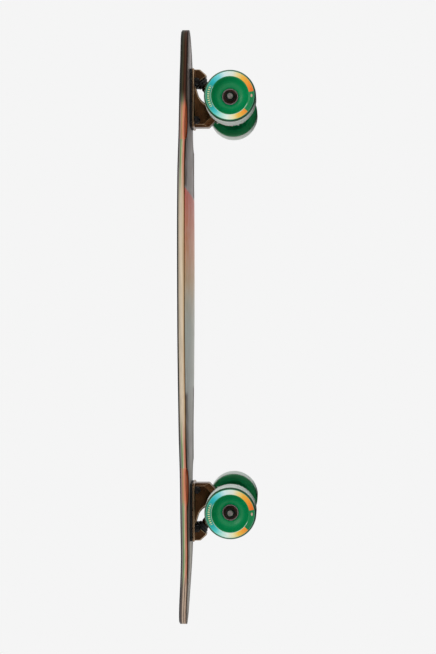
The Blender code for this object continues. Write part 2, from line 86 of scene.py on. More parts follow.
class Truck:
    """Where one truck is, and the lines that its pieces turn about."""

    def __init__(self, name, side):
        self.name, self.side, self.body = name, side, f"{name}_truck"
        self.x = middle(f"baseplate_{name}").x
        joint = next(j for j in frame["joints"] if j["name"] == f"{name}_truck_steer")
        self.ring = Vector(joint["pos_m"])
        self.steer = Vector(joint["axis"])
        lean = math.radians(5)
        self.kingpin = Vector((-side * math.sin(lean), 0, -math.cos(lean)))
        self.seat = self.ring - self.kingpin * 0.0178
        self.mouth = Vector((self.x + side * 0.0246, 0, BASE_Z - 0.0111))
        self.reach = (self.mouth - self.ring).length
        self.axle = middle(f"axle_{name}")

    def bolts(self):
        for row in ("outer", "inner"):
            for rail in ("near", "far"):
                yield f"{self.name}_{row}_{rail}"

    def wheels(self):
        for rail, sign in (("near", -1), ("far", 1)):
            yield f"{self.name}_{rail}", sign, middle(f"wheel_{self.name}_{rail}")


TRUCKS = (Truck("front", 1), Truck("rear", -1))


def along(point, direction):
    """A matrix that carries local +Z onto a direction, through a point."""
    turn = Vector(direction).normalized().to_track_quat("Z", "Y").to_matrix().to_4x4()
    return Matrix.Translation(point) @ turn


# --- finishes --------------------------------------------------------------
def hue(code):
    """A colour written as six hex digits, as linear light."""
    parts = (int(code[i:i + 2], 16) / 255 for i in (0, 2, 4))
    return (*(p / 12.92 if p <= 0.04045 else ((p + 0.055) / 1.055) ** 2.4 for p in parts), 1.0)


class Finish:
    """A Principled finish, with short ways to add the nodes that drive it."""

    def __init__(self, name, colour, rough, metal=0.0, **sockets):
        self.material = bpy.data.materials.new(name)
        self.material.use_nodes = True
        self.tree = self.material.node_tree
        self.shader = self.tree.nodes["Principled BSDF"]
        self.place = self.node("ShaderNodeTexCoord").outputs["Object"]
        named = {key.replace("_", " "): value for key, value in sockets.items()}
        self.feed(self.shader, {"Base Color": hue(colour), "Roughness": rough,
                                "Metallic": metal, **named})

    def feed(self, node, inputs):
        for key, value in inputs.items():
            socket = node.inputs[key]
            if isinstance(value, bpy.types.NodeSocket):
                self.tree.links.new(value, socket)
            else:
                socket.default_value = value

    def node(self, kind, inputs=None, **settings):
        made = self.tree.nodes.new(kind)
        for key, value in settings.items():
            setattr(made, key, value)
        self.feed(made, inputs or {})
        return made

    def math(self, operation, first, second=0.0, third=0.0):
        made = self.node("ShaderNodeMath", {0: first, 1: second, 2: third}, operation=operation)
        return made.outputs[0]

    def mix(self, factor, first, second, blend="MIX"):
        made = self.node("ShaderNodeMix", {0: factor, 6: first, 7: second},
                         data_type="RGBA", blend_type=blend)
        return made.outputs[2]

    def between(self, value, low, high, soft):
        """1 where the value lies between low and high, with soft edges."""
        rise = self.span(value, low - soft, low + soft)
        fall = self.span(value, high - soft, high + soft)
        return self.math("SUBTRACT", rise, fall)

    def span(self, value, low, high, start=0.0, end=1.0):
        made = self.node("ShaderNodeMapRange", {0: value, 1: low, 2: high, 3: start, 4: end},
                         interpolation_type="SMOOTHSTEP")
        return made.outputs[0]

    def ramp(self, factor, stops, steps="LINEAR"):
        made = self.node("ShaderNodeValToRGB", {0: factor})
        made.color_ramp.interpolation = steps
        marks = made.color_ramp.elements
        while len(marks) < len(stops):
            marks.new(1.0)
        for mark, (at, colour) in zip(marks, stops):
            mark.position = at
            mark.color = hue(colour) if isinstance(colour, str) else (*[colour] * 3, 1.0)
        return made.outputs[0]

    def mapped(self, scale=(1, 1, 1), shift=(0, 0, 0)):
        return self.node("ShaderNodeMapping", {"Vector": self.place, "Scale": scale,
                                               "Location": shift}).outputs[0]

    def noise(self, scale, detail=3.0, stretch=(1, 1, 1), rough=0.5):
        made = self.node("ShaderNodeTexNoise", {
            "Vector": self.mapped(stretch), "Scale": scale, "Detail": detail,
            "Roughness": rough})
        return made.outputs[0]

    def bump(self, height, distance, strength=1.0):
        made = self.node("ShaderNodeBump", {"Height": height, "Distance": distance,
                                            "Strength": strength})
        self.feed(self.shader, {"Normal": made.outputs[0]})

    def colour(self, value):
        self.feed(self.shader, {"Base Color": value})

    def rough(self, value):
        self.feed(self.shader, {"Roughness": value})


def cast_metal(name, colour, light, dark):
    """Satin bronze coat on a casting: cloudy colour, a fine sand-cast skin, and pale worn edges
    that also carry a painted highlight.
    """
    finish = Finish(name, colour, 0.3, 1.0)
    clouds = finish.noise(45, 4)
    coat = finish.ramp(clouds, [(0.25, dark), (0.5, colour), (0.8, light)])
    edge = finish.node("ShaderNodeAttribute", attribute_name="edge").outputs["Fac"]
    # Pale cream on the sharp outer edges: partly wear, partly a painted highlight standing in for
    # the glint of light on the bevels.
    wear_and_painted_glint = finish.math("MULTIPLY", edge, finish.span(finish.noise(70, 3), 0.25, 0.6, 0.55, 1.0))
    finish.colour(finish.mix(wear_and_painted_glint, coat, hue("f3d3ae")))
    finish.rough(finish.span(finish.noise(210, 2), 0.2, 0.8, 0.24, 0.38))
    finish.bump(finish.noise(900, 2), 0.00010, 0.4)
    return finish.material


def turned_steel(name, colour, rough=0.3):
    """Plated steel with faint drawn lines and small stains."""
    finish = Finish(name, colour, rough, 1.0)
    finish.rough(finish.span(finish.noise(300, 3), 0.25, 0.75, rough - 0.1, rough + 0.14))
    finish.bump(finish.noise(1500, 1, (1, 1, 0.1)), 0.00004, 0.4)
    return finish.material


def black_metal(name, dark="131213", light="2d2a29", rough=0.42):
    """Blackened steel, slightly cloudy."""
    finish = Finish(name, dark, rough, 0.75)
    finish.rough(finish.span(finish.noise(400, 3), 0.3, 0.7, rough - 0.12, rough + 0.15))
    finish.colour(finish.ramp(finish.noise(120, 3), [(0.3, dark), (0.75, light)]))
    finish.bump(finish.noise(1600, 2), 0.00003, 0.4)
    return finish.material


def soft_rubber(name, colour, light, rough=0.6):
    finish = Finish(name, colour, rough)
    finish.colour(finish.ramp(finish.noise(160, 4), [(0.3, colour), (0.8, light)]))
    finish.rough(finish.span(finish.noise(500, 3), 0.3, 0.7, rough - 0.1, rough + 0.15))
    finish.bump(finish.noise(1400, 3), 0.00006, 0.5)
    return finish.material


# Plies from the underside up, as a share of the deck's thickness: waist, trucks, nose, tail. The
# nose's plies are painted dark as shade.
WAIST_PLIES = [
    (0.0, "33230f"), (0.12, "4f3822"), (0.16, "9c7a55"), (0.20, "c6a983"), (0.31, "d8c0a0"),
    (0.33, "a88a69"), (0.35, "e0cdb1"), (0.49, "dfccb2"), (0.51, "a68c70"), (0.53, "d9c8b0"),
    (0.68, "d2c2aa"), (0.70, "9f8c76"), (0.72, "cfc0a9"), (0.88, "b9ac98"), (0.91, "4a443e"),
]
# The lowest dark band at the trucks is the dark bottom ply, widened and darkened by painted shade
# beside the wheels.
TRUCK_PLIES = [
    (0.0, "24160d"), (0.19, "33200f"), (0.22, "a85c45"), (0.28, "d0816a"), (0.40, "d69079"),
    (0.44, "8f7358"), (0.48, "cbb898"), (0.60, "bfb18f"), (0.63, "6f9a62"), (0.76, "6c935f"),
    (0.80, "8a8280"), (0.92, "857d7b"), (0.96, "4a4542"),
]
# Dark browns at the nose are painted shade on the deck's edge, darker than the wood itself.
NOSE_PLIES_PAINTED_SHADE = [
    (0.0, "1a110b"), (0.18, "21150e"), (0.24, "41251a"), (0.42, "4c2d1f"), (0.47, "231810"),
    (0.60, "45341f"), (0.72, "38392b"), (0.86, "292a23"),
]
TAIL_PLIES = [
    (0.0, "40322a"), (0.14, "4c3c31"), (0.18, "b99e8a"), (0.34, "c9b09a"), (0.39, "57453a"),
    (0.46, "64534a"), (0.50, "c6b09c"), (0.66, "bda893"), (0.71, "6e6059"), (0.88, "57504d"),
]
# Stain on the underside, tail to nose, as a share of the deck's length.
STAIN = [
    (0.0, "e2ddce"), (0.136, "dedbc9"), (0.23, "cbc7bd"), (0.30, "b6b2ac"), (0.36, "b9b9b2"),
    (0.405, "c4ccc5"), (0.50, "c6d2c7"), (0.545, "d2cfb8"), (0.58, "e6c694"), (0.62, "f2b07a"),
    (0.67, "f58c5a"), (0.705, "f26a45"), (0.7255, "ea5038"), (0.7265, "a8a3a1"),
    (0.80, "a49e9e"), (0.87, "b9b2b2"), (0.94, "d8d0cf"), (1.0, "dcd4d2"),
]


def laminated_wood():
    """Stained plies on the edge, a printed stain under a thin satin coat below, with painted shade
    on the nose plies, along the near rail and on the rails towards the ends, and painted light
    towards the far rail.
    """
    finish = Finish("deck_plies", "c0a080", 0.5, Specular_IOR_Level=0.07)
    ply = finish.node("ShaderNodeAttribute", attribute_name="ply").outputs["Fac"]
    well = finish.node("ShaderNodeAttribute", attribute_name="well").outputs["Fac"]
    x, y, _ = finish.node("ShaderNodeSeparateXYZ", {0: finish.place}).outputs

    grain = finish.noise(14, 5, (1.0, 16, 30), 0.62)
    height = finish.math("ADD", ply, finish.math("MULTIPLY_ADD", finish.noise(9, 2), 0.03, -0.015))
    layers = finish.ramp(height, WAIST_PLIES)
    layers = finish.mix(finish.span(x, 0.15, 0.24), layers, finish.ramp(height, TRUCK_PLIES))
    layers = finish.mix(finish.span(x, -0.11, -0.17), layers, finish.ramp(height, TRUCK_PLIES))
    # Towards the nose the edge takes the darker plies: painted shade.
    layers = finish.mix(finish.span(x, 0.285, 0.325), layers, finish.ramp(height, NOSE_PLIES_PAINTED_SHADE))
    layers = finish.mix(finish.span(x, -0.335, -0.365), layers, finish.ramp(height, TAIL_PLIES))
    layers = finish.mix(0.8, layers, finish.ramp(grain, [(0.25, 0.62), (0.75, 1.0)]), "MULTIPLY")
    ragged = finish.math("ADD", ply, finish.math("MULTIPLY_ADD", grain, 0.06, -0.03))
    scooped = finish.ramp(ragged, [
        (0.0, "22150e"), (0.04, "35200f"), (0.075, "8a3f22"), (0.16, "a94e2c"), (0.34, "c87657")])
    layers = finish.mix(well, layers, scooped)

    share = finish.math("MULTIPLY_ADD", x, 0.5 / HALF_LENGTH, 0.5)
    streaks = finish.math("MULTIPLY_ADD", finish.noise(5, 4, (1, 5, 1)), 0.05, -0.025)
    soft_share = finish.math("ADD", share, finish.math("MULTIPLY", streaks, finish.between(
        share, 0.30, 0.68, 0.05)))
    stain = finish.ramp(soft_share, STAIN)
    fibres = finish.noise(12, 6, (0.8, 22, 1), 0.6)
    stain = finish.mix(0.7, stain, finish.ramp(fibres, [(0.3, 0.72), (0.7, 1.0)]), "MULTIPLY")
    # Darker along the near rail and paler towards the far rail: painted shade and painted light
    # across the underside.
    far = finish.span(y, -0.115, 0.10)
    pale = finish.mix(0.35, stain, hue("e6dfdb"))
    stain = finish.mix(far, finish.mix(0.3, stain, hue("9b9391"), "MULTIPLY"), pale)
    # A dark brown band along the rails over the deck's end sections, towards nose and tail, is
    # painted shade.
    inset = finish.node("ShaderNodeAttribute", attribute_name="inset").outputs["Fac"]
    rim = finish.span(inset, 0.060, 0.016)
    ends = finish.math("ADD", finish.span(x, 0.188, 0.194),
                       finish.math("MULTIPLY", finish.span(x, -0.084, -0.092), 0.9))
    rim = finish.math("MULTIPLY", finish.math("MULTIPLY", rim, ends), 0.92)
    stain = finish.mix(rim, stain, hue("3d2c20"))

    below = finish.math("MULTIPLY", finish.math("LESS_THAN", ply, 0.02),
                        finish.math("SUBTRACT", 1.0, well))
    finish.colour(finish.mix(below, layers, stain))
    finish.rough(finish.span(finish.noise(60, 4), 0.3, 0.7, 0.38, 0.56))
    finish.bump(finish.noise(30, 5, (1, 24, 60)), 0.00008, 0.35)
    return finish.material


def grit_sheet():
    """Coarse black grit with a few bright grains and dust."""
    finish = Finish("grip_grit", "101010", 0.9, Sheen_Weight=0.15, Sheen_Roughness=0.6)
    grains = finish.node("ShaderNodeTexVoronoi", {"Vector": finish.place, "Scale": 1500.0})
    bright = finish.math("GREATER_THAN", finish.noise(2600, 1), 0.70)
    dust = finish.ramp(finish.noise(14, 5), [(0.35, "0c0c0c"), (0.75, "1d1c1b")])
    finish.colour(finish.mix(bright, dust, hue("6b6a68")))
    finish.rough(finish.span(bright, 0.0, 1.0, 0.92, 0.45))
    finish.bump(grains.outputs["Distance"], 0.00035, 0.9)
    return finish.material


def wheel_green(name, centre, sign):
    """Clear green urethane with a ground tread and a printed ring outside."""
    finish = Finish(name, "007a45", 0.42, Specular_IOR_Level=0.3, Coat_Weight=0.08,
                    Coat_Roughness=0.15)
    offset = finish.mapped(shift=tuple(-centre))
    x, y, z = finish.node("ShaderNodeSeparateXYZ", {0: offset}).outputs
    radius = finish.math("SQRT", finish.math("ADD", finish.math("MULTIPLY", x, x),
                                             finish.math("MULTIPLY", z, z)))
    angle = finish.math("ARCTAN2", x, finish.math("MULTIPLY", z, -1.0))
    clock = finish.math("FRACT", finish.math("ADD", finish.math(
        "MULTIPLY", angle, 1 / TURN), 1.0))
    outward = finish.math("GREATER_THAN", finish.math("MULTIPLY", y, sign), 0.018)

    cloudy = finish.noise(35, 4)
    body = finish.ramp(cloudy, [(0.3, "00753f"), (0.7, "00854c")])
    dish = finish.between(radius, 0.0125, 0.0215, 0.003)
    body = finish.mix(finish.math("MULTIPLY", dish, 0.3), body, hue("008f56"))

    ink = finish.ramp(clock, [
        (0.0, "e4571c"), (0.045, "ef7420"), (0.10, "f2992a"), (0.15, "efb23e"),
        (0.195, "ead391"), (0.23, "dfe3d6"), (0.29, "cfe6e6"), (0.335, "6fcdd4"), (0.385, "1fb0b8"),
        (0.42, "0b9c9c"), (0.45, "0d8468"), (0.56, "0d8468"), (0.595, "12a3a2"), (0.635, "43c1c1"),
        (0.68, "a5ddd2"), (0.73, "e0ebe0"), (0.775, "e9dfa9"), (0.81, "edbc45"),
        (0.85, "f0a02f"), (0.88, "ee8a2a"),
    ])
    shown = finish.math("MAXIMUM", finish.math("LESS_THAN", clock, 0.883),
                        finish.math("GREATER_THAN", clock, 1.1))
    start = finish.math("GREATER_THAN", clock, 0.028)
    arc = finish.math("MULTIPLY", shown, start)
    band = finish.between(radius, 0.0258, 0.0322, 0.00012)
    print_mask = finish.math("MULTIPLY", finish.math("MULTIPLY", band, arc), outward)
    face = finish.mix(finish.math("MULTIPLY", print_mask, 0.93), body, ink)

    dashes = finish.math("GREATER_THAN", finish.math("SINE", finish.math(
        "MULTIPLY", clock, TURN * 62)), 0.1)
    dash_band = finish.between(radius, 0.0274, 0.0303, 0.00015)
    dash_arc = finish.between(clock, 0.425, 0.585, 0.002)
    dash_mask = finish.math("MULTIPLY", finish.math("MULTIPLY", dashes, dash_band),
                            finish.math("MULTIPLY", dash_arc, outward))
    face = finish.mix(finish.math("MULTIPLY", dash_mask, 0.85), face, hue("d9cf9a"))

    thin_line = finish.between(radius, 0.02535, 0.02575, 0.0001)
    thin_arc = finish.between(clock, 0.42, 0.93, 0.01)
    line = finish.math("MULTIPLY", finish.math("MULTIPLY", thin_line, thin_arc), outward)
    face = finish.mix(finish.math("MULTIPLY", line, 0.8), face, hue("e3efe8"))
    rim_line = finish.between(radius, 0.0323, 0.0326, 0.0001)
    rim = finish.math("MULTIPLY", finish.math("MULTIPLY", rim_line, outward), 0.55)
    face = finish.mix(rim, face, hue("a6d9cb"))
    rim_dark = finish.math("MULTIPLY", finish.span(radius, 0.0327, 0.0330), outward)
    face = finish.mix(finish.math("MULTIPLY", rim_dark, 0.9), face, hue("003d24"))

    spot_x = finish.math("MULTIPLY", finish.math("ADD", x, 0.0004), 0.62)
    spot_z = finish.math("ADD", z, 0.0290)
    spot = finish.math("SQRT", finish.math("ADD", finish.math("MULTIPLY", spot_x, spot_x),
                                           finish.math("MULTIPLY", spot_z, spot_z)))
    spot_mask = finish.math("MULTIPLY", finish.span(spot, 0.0016, 0.0010), outward)
    face = finish.mix(finish.math("MULTIPLY", spot_mask, 0.8), face, hue("d5a79a"))

    tread = finish.math("LESS_THAN", finish.math("ABSOLUTE", y), 0.0207)
    tread = finish.math("MULTIPLY", tread, finish.math("GREATER_THAN", radius, 0.0335))
    ground = finish.ramp(finish.noise(60, 4, (1, 6, 1)), [(0.3, "cfded6"), (0.75, "e6efe9")])
    finish.colour(finish.mix(tread, face, ground))
    finish.rough(finish.mix(tread, (0.34, 0.34, 0.34, 1), (0.7, 0.7, 0.7, 1)))
    skin = finish.noise(900, 3, (1, 3, 1))
    finish.bump(finish.math("MULTIPLY", skin, finish.math("MULTIPLY_ADD", tread, 0.9, 0.1)),
                0.00012, 0.6)
    return finish.material


BRONZE = cast_metal("bronze_casting", "5c3f28", "785434", "432d1c")
BRIGHT = turned_steel("bright_steel", "a8a19d", 0.3)
ZINC = turned_steel("zinc_plate", "8f8e8c", 0.36)
SHIELD = black_metal("bearing_shield", "241613", "4a2c26")
BLACK = black_metal("black_oxide")
PAD = soft_rubber("black_pad", "0e0d0d", "191817", 0.72)
CUP = soft_rubber("black_urethane", "0b0b0b", "151414", 0.42)
BUSHING = soft_rubber("green_bushing", "04552f", "0b6b3e", 0.38)
WOOD = laminated_wood()
GRIT = grit_sheet()


# --- pieces ----------------------------------------------------------------
def new_piece(name, bm, materials, body, stands_for=(), split=SMOOTH_ANGLE):
    """A finished piece from a bmesh that is already in place."""
    mesh = bpy.data.meshes.new(name)
    bm.to_mesh(mesh)
    bm.free()
    for material in materials if isinstance(materials, (list, tuple)) else [materials]:
        mesh.materials.append(material)
    mesh.shade_smooth()
    mesh.set_sharp_from_angle(angle=split)
    piece = bpy.data.objects.new(name, mesh)
    bpy.context.scene.collection.objects.link(piece)
    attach(piece, body)
    if stands_for:
        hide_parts(*stands_for)
    return piece


def spun(profile, place=Matrix.Identity(4), steps=64, closed=False):
    """Spin (radius, height) points about the local Z axis."""
    bm = bmesh.new()
    verts = [bm.verts.new((radius, 0, height)) for radius, height in profile]
    pairs = list(zip(verts, verts[1:]))
    if closed:
        pairs.append((verts[-1], verts[0]))
    edges = [bm.edges.new(pair) for pair in pairs]
    bmesh.ops.spin(bm, geom=verts + edges, cent=(0, 0, 0), axis=(0, 0, 1), dvec=(0, 0, 0),
                   angle=TURN, steps=steps, use_merge=True, use_duplicate=False)
    bmesh.ops.remove_doubles(bm, verts=bm.verts, dist=1e-6)
    bmesh.ops.recalc_face_normals(bm, faces=bm.faces)
    bmesh.ops.transform(bm, matrix=place, verts=bm.verts)
    return bm


def join(*parts):
    """One bmesh that holds all the parts."""
    whole = bmesh.new()
    for part in parts:
        mesh = bpy.data.meshes.new("part")
        part.to_mesh(mesh)
        part.free()
        whole.from_mesh(mesh)
        bpy.data.meshes.remove(mesh)
    return whole


def evaluated(bm, set_up):
    """The bmesh after the modifiers that set_up puts on it."""
    mesh = bpy.data.meshes.new("blank")
    bm.to_mesh(mesh)
    bm.free()
    blank = bpy.data.objects.new("blank", mesh)
    bpy.context.scene.collection.objects.link(blank)
    extra = set_up(blank) or []
    bpy.context.view_layer.update()
    graph = bpy.context.evaluated_depsgraph_get()
    result = bmesh.new()
    result.from_mesh(bpy.data.meshes.new_from_object(blank.evaluated_get(graph)))
    for item in [blank, *extra]:
        bpy.data.objects.remove(item)
    return result


def carve(bm, cutter, operation="DIFFERENCE"):
    """An exact cut, or overlap, of one bmesh with another."""
    def set_up(blank):
        mesh = bpy.data.meshes.new("tool")
        cutter.to_mesh(mesh)
        cutter.free()
        tool = bpy.data.objects.new("tool", mesh)
        bpy.context.scene.collection.objects.link(tool)
        step = blank.modifiers.new("carve", "BOOLEAN")
        step.operation, step.solver, step.object = operation, "EXACT", tool
        return [tool]
    return evaluated(bm, set_up)


def rod_profile(radius, low, high, threads=(), pitch=0.00105, depth=0.00042):
    """A rod's outline, low to high, with thread grooves between given heights."""
    points = [(0.0, low), (radius - 0.0006, low), (radius, low + 0.0006)]
    for start, end in threads:
        count = int((end - start) / pitch)
        for i in range(count):
            at = start + i * pitch
            points += [(radius, at), (radius - depth, at + pitch * 0.5)]
        points.append((radius, start + count * pitch))
    points += [(radius, high - 0.0006), (radius - 0.0006, high), (0.0, high)]
    return points


def hex_nut(width, low, high, bore, place, collar=0.0):
    """A chamfered hexagon nut from low to high, with an optional round collar."""
    bm = bmesh.new()
    bmesh.ops.create_cone(bm, cap_ends=True, segments=6, radius1=width / math.sqrt(3),
                          radius2=width / math.sqrt(3), depth=high - low,
                          matrix=Matrix.Translation((0, 0, (low + high) / 2)))
    reach, cut = width / math.sqrt(3), width * 0.07
    round_off = spun([(0.0, low), (width / 2 - 0.0001, low), (reach, low + cut),
                      (reach, high - cut), (width / 2 - 0.0001, high), (0.0, high)], steps=36)
    bm = carve(bm, round_off, "INTERSECT")
    bm = carve(bm, spun([(0.0, low - 0.001), (bore, low - 0.001), (bore, high + 0.001),
                         (0.0, high + 0.001)], steps=32))
    if collar:
        ring = spun([(bore, high), (width * 0.47, high), (width * 0.46, high + collar * 0.7),
                     (width * 0.42, high + collar), (bore, high + collar)], steps=36, closed=True)
        bm = join(bm, ring)
    bmesh.ops.transform(bm, matrix=place, verts=bm.verts)
    return bm


# --- deck and grip ---------------------------------------------------------
OUTLINE = [
    (1.0, 0.0), (0.9945, 0.135), (0.974, 0.270), (0.940, 0.385), (0.890, 0.488),
    (0.790, 0.650), (0.632, 0.8115), (0.530, 0.905), (0.430, 0.967), (0.330, 0.995),
    (0.227, 1.0), (0.110, 0.990), (-0.010, 0.967), (-0.110, 0.918), (-0.212, 0.852),
    (-0.300, 0.782), (-0.382, 0.715), (-0.449, 0.670), (-0.560, 0.604), (-0.660, 0.540),
    (-0.753, 0.467), (-0.854, 0.373), (-0.921, 0.315), (-0.962, 0.245), (-0.988, 0.150),
    (-1.0, 0.0),
]


def rail_curve(steps=24):
    """The deck's outline as two arrays, tail to nose: x and half width."""
    ends = [(OUTLINE[1][0], -OUTLINE[1][1]), *OUTLINE, (OUTLINE[-2][0], -OUTLINE[-2][1])]
    points = [Vector(p) for p in ends]
    curve = []
    for p0, p1, p2, p3 in zip(points, points[1:], points[2:], points[3:]):
        for i in range(steps):
            t = i / steps
            curve.append(0.5 * (2 * p1 + (p2 - p0) * t + (2 * p0 - 5 * p1 + 4 * p2 - p3) * t**2
                                + (3 * p1 - p0 - 3 * p2 + p3) * t**3))
    curve.append(Vector(OUTLINE[-1]))
    curve.reverse()
    return ([p.x * HALF_LENGTH for p in curve], [max(p.y, 0.0) * HALF_WIDTH for p in curve])


RAIL_X, RAIL_W = rail_curve()


def half_width(x):
    return float(np.interp(x, RAIL_X, RAIL_W))


def ease(value, low, high):
    t = min(max((value - low) / (high - low), 0.0), 1.0)
    return t * t * (3 - 2 * t)


def lift(x, across):
    """How far the deck rises above its flat truck seats."""
    front, rear = TRUCKS[0].x, TRUCKS[1].x
    nose = ease(x, front + FLANGE_REACH, HALF_LENGTH + 0.02) * NOSE_RISE / 0.83
    tail = ease(-x, -rear + FLANGE_REACH, HALF_LENGTH + 0.02) * TAIL_RISE / 0.92
    waist = (ease(x, rear + FLANGE_REACH, rear + 0.12)
             * ease(-x, -front + FLANGE_REACH, -front + 0.12))
    return nose + tail + waist * RAIL_RISE * abs(across) ** 2.2


def board_sheet(top, thickness, inset, columns, rows, rounding, segments):
    """A sheet of the deck's outline and curve, with rounded rims."""
    bm = bmesh.new()
    bmesh.ops.create_grid(bm, x_segments=columns, y_segments=rows, size=1.0)
    reach = max(v.co.x for v in bm.verts)
    for vert in bm.verts:
        x = HALF_LENGTH * math.sin(vert.co.x / reach * math.pi / 2)
        across = vert.co.y / reach
        shrink = 1 - inset / HALF_LENGTH
        wide = max(half_width(x) - inset, 0.0)
        vert.co = (x * shrink, across * wide, top + lift(x, across))
    bmesh.ops.remove_doubles(bm, verts=bm.verts, dist=2e-5)
    sheet = bm.faces[:]
    grown = bmesh.ops.extrude_face_region(bm, geom=sheet)
    moved = [g for g in grown["geom"] if isinstance(g, bmesh.types.BMVert)]
    bmesh.ops.translate(bm, vec=(0, 0, -thickness), verts=moved)
    bmesh.ops.dissolve_degenerate(bm, edges=bm.edges, dist=1e-6)
    bmesh.ops.recalc_face_normals(bm, faces=bm.faces)
    rims = [e for e in bm.edges if len(e.link_faces) == 2 and e.calc_face_angle() > 0.9
            and abs(e.verts[0].co.z - e.verts[1].co.z) < thickness * 0.5]
    bmesh.ops.bevel(bm, geom=rims, offset=rounding, segments=segments, profile=0.5,
                    affect="EDGES", material=-1, clamp_overlap=True)
    return bm


WELL_INWARD, WELL_TILT = 0.026, math.radians(2.8)
WELL_SIZE = (0.032, 0.028, 0.0030, 1.0)


def well_places():
    """The ellipsoids that scoop the four wheel wells, as matrices."""
    for truck in TRUCKS:
        x = truck.axle.x - truck.side * WELL_INWARD
        for sign in (-1, 1):
            yield (Matrix.Translation((x, sign * (half_width(x) + 0.002), DECK_BOTTOM))
                   @ Matrix.Rotation(truck.side * WELL_TILT, 4, "Y")
                   @ Matrix.Diagonal(WELL_SIZE))


def deck_tools():
    """Countersunk bolt holes and the four scooped wheel wells."""
    tools = []
    for truck in TRUCKS:
        for label in truck.bolts():
            spot = middle(f"deck_bolt_{label}")
            low, high, sink = DECK_BOTTOM - 0.004, DECK_TOP + 0.004, 0.0026
            tools.append(spun([(0.0, low), (0.00275, low), (0.00275, DECK_TOP - sink),
                               (0.00535, DECK_TOP), (0.00535, high), (0.0, high)],
                              Matrix.Translation((spot.x, spot.y, 0)), 24))
    for place in well_places():
        scoop = bmesh.new()
        bmesh.ops.create_uvsphere(scoop, u_segments=96, v_segments=48, radius=1.0, matrix=place)
        tools.append(scoop)
    return join(*tools)


def scoop_depth(near):
    """How far into a wheel well a point lies, from its place in each scoop."""
    ends = (1, 1, -1, -1)
    depths = [ease(-side * local.x, -0.75, -0.35) for side, local in zip(ends, near)
              if local.length < 1.1]
    return max(depths, default=0.0)


def make_deck():
    bm = board_sheet(DECK_TOP, DECK_THICKNESS, 0.0, 260, 36, 0.0021, 5)
    bm = carve(bm, deck_tools())
    ply = bm.verts.layers.float.new("ply")
    well = bm.verts.layers.float.new("well")
    inset = bm.verts.layers.float.new("inset")
    scoops = [place.inverted() for place in well_places()]
    for vert in bm.verts:
        wide = max(half_width(vert.co.x), 1e-4)
        floor = DECK_BOTTOM + lift(vert.co.x, min(abs(vert.co.y) / wide, 1.0))
        vert[ply] = (vert.co.z - floor) / DECK_THICKNESS
        vert[inset] = wide - abs(vert.co.y)
        near = [back @ vert.co for back in scoops]
        skin = min(abs(local.length - 1.0) for local in near)
        vert[well] = max(0.0, 1.0 - 60 * skin) * scoop_depth(near)
    new_piece("deck_board", bm, WOOD, "board", ["deck"], math.radians(40))


def make_grip():
    bm = board_sheet(DECK_TOP + GAP + GRIP_THICKNESS, GRIP_THICKNESS, 0.0014, 240, 30,
                     0.00025, 2)
    holes = []
    for truck in TRUCKS:
        for label in truck.bolts():
            spot = middle(f"deck_bolt_{label}")
            holes.append(spun([(0.0, DECK_TOP - 0.002), (0.0053, DECK_TOP - 0.002),
                               (0.0053, DECK_TOP + 0.004), (0.0, DECK_TOP + 0.004)],
                              Matrix.Translation((spot.x, spot.y, 0)), 28))
    bm = carve(bm, join(*holes))
    new_piece("grip_sheet", bm, GRIT, "board", ["grip_tape"])


# --- castings --------------------------------------------------------------
def softened(node, voxel, passes):
    """A copy of a CAD casting with cast fillets on all its corners."""
    bm = bmesh.new()
    bm.from_mesh(NODES[node].data)
    bmesh.ops.remove_doubles(bm, verts=bm.verts, dist=2e-6)

    def set_up(blank):
        grid = blank.modifiers.new("grid", "REMESH")
        grid.mode, grid.voxel_size, grid.adaptivity = "VOXEL", voxel, 0.0
        relax = blank.modifiers.new("relax", "SMOOTH")
        relax.factor, relax.iterations = 0.5, passes
    bm = evaluated(bm, set_up)
    mark_edges(bm)
    return bm


def mark_edges(bm):
    """Mark where a casting's outer corners turn sharply, for its worn edges and their painted
    highlight.
    """
    bm.normal_update()
    bm.verts.index_update()
    places = np.array([v.co for v in bm.verts])
    normals = np.array([v.normal for v in bm.verts])
    pairs = np.array([(e.verts[0].index, e.verts[1].index) for e in bm.edges])
    one, two = pairs[:, 0], pairs[:, 1]
    step = places[two] - places[one]
    bend = ((normals[two] - normals[one]) * step).sum(1) / (step * step).sum(1)
    total, count = np.zeros(len(places)), np.zeros(len(places))
    for end in (one, two):
        np.add.at(total, end, bend)
        np.add.at(count, end, 1)
    mark = np.clip((total / count - 180) / 420, 0, 1)
    edge = bm.verts.layers.float.new("edge")
    for vert in bm.verts:
        vert[edge] = float(mark[vert.index])


def make_castings(truck):
    for kind, body, slot in (("baseplate", "board", "baseplate_bronze"),
                             ("hanger", truck.body, "hanger_bronze")):
        node = f"{kind}_{truck.name}"
        bm = softened(node, 0.0005, 2)
        for face in bm.faces:
            face.material_index = 0
        new_piece(f"{kind}_casting_{truck.name}", bm, BRONZE, body, [node],
                  math.radians(60))


def make_riser(truck):
    bm = bmesh.new()
    bm.from_mesh(NODES[f"riser_{truck.name}"].data)
    bmesh.ops.remove_doubles(bm, verts=bm.verts, dist=2e-6)
    rims = [e for e in bm.edges if len(e.link_faces) == 2 and e.calc_face_angle() > 1.2
            and abs(e.verts[0].co.z - e.verts[1].co.z) < 1e-5]
    bmesh.ops.bevel(bm, geom=rims, offset=0.0005, segments=2, profile=0.5,
                    affect="EDGES", material=-1, clamp_overlap=True)
    new_piece(f"riser_pad_{truck.name}", bm, PAD, "board",
              [f"riser_{truck.name}"])


# --- steering stack --------------------------------------------------------
STUB = 0.0050
CUP_OUT = 0.0070


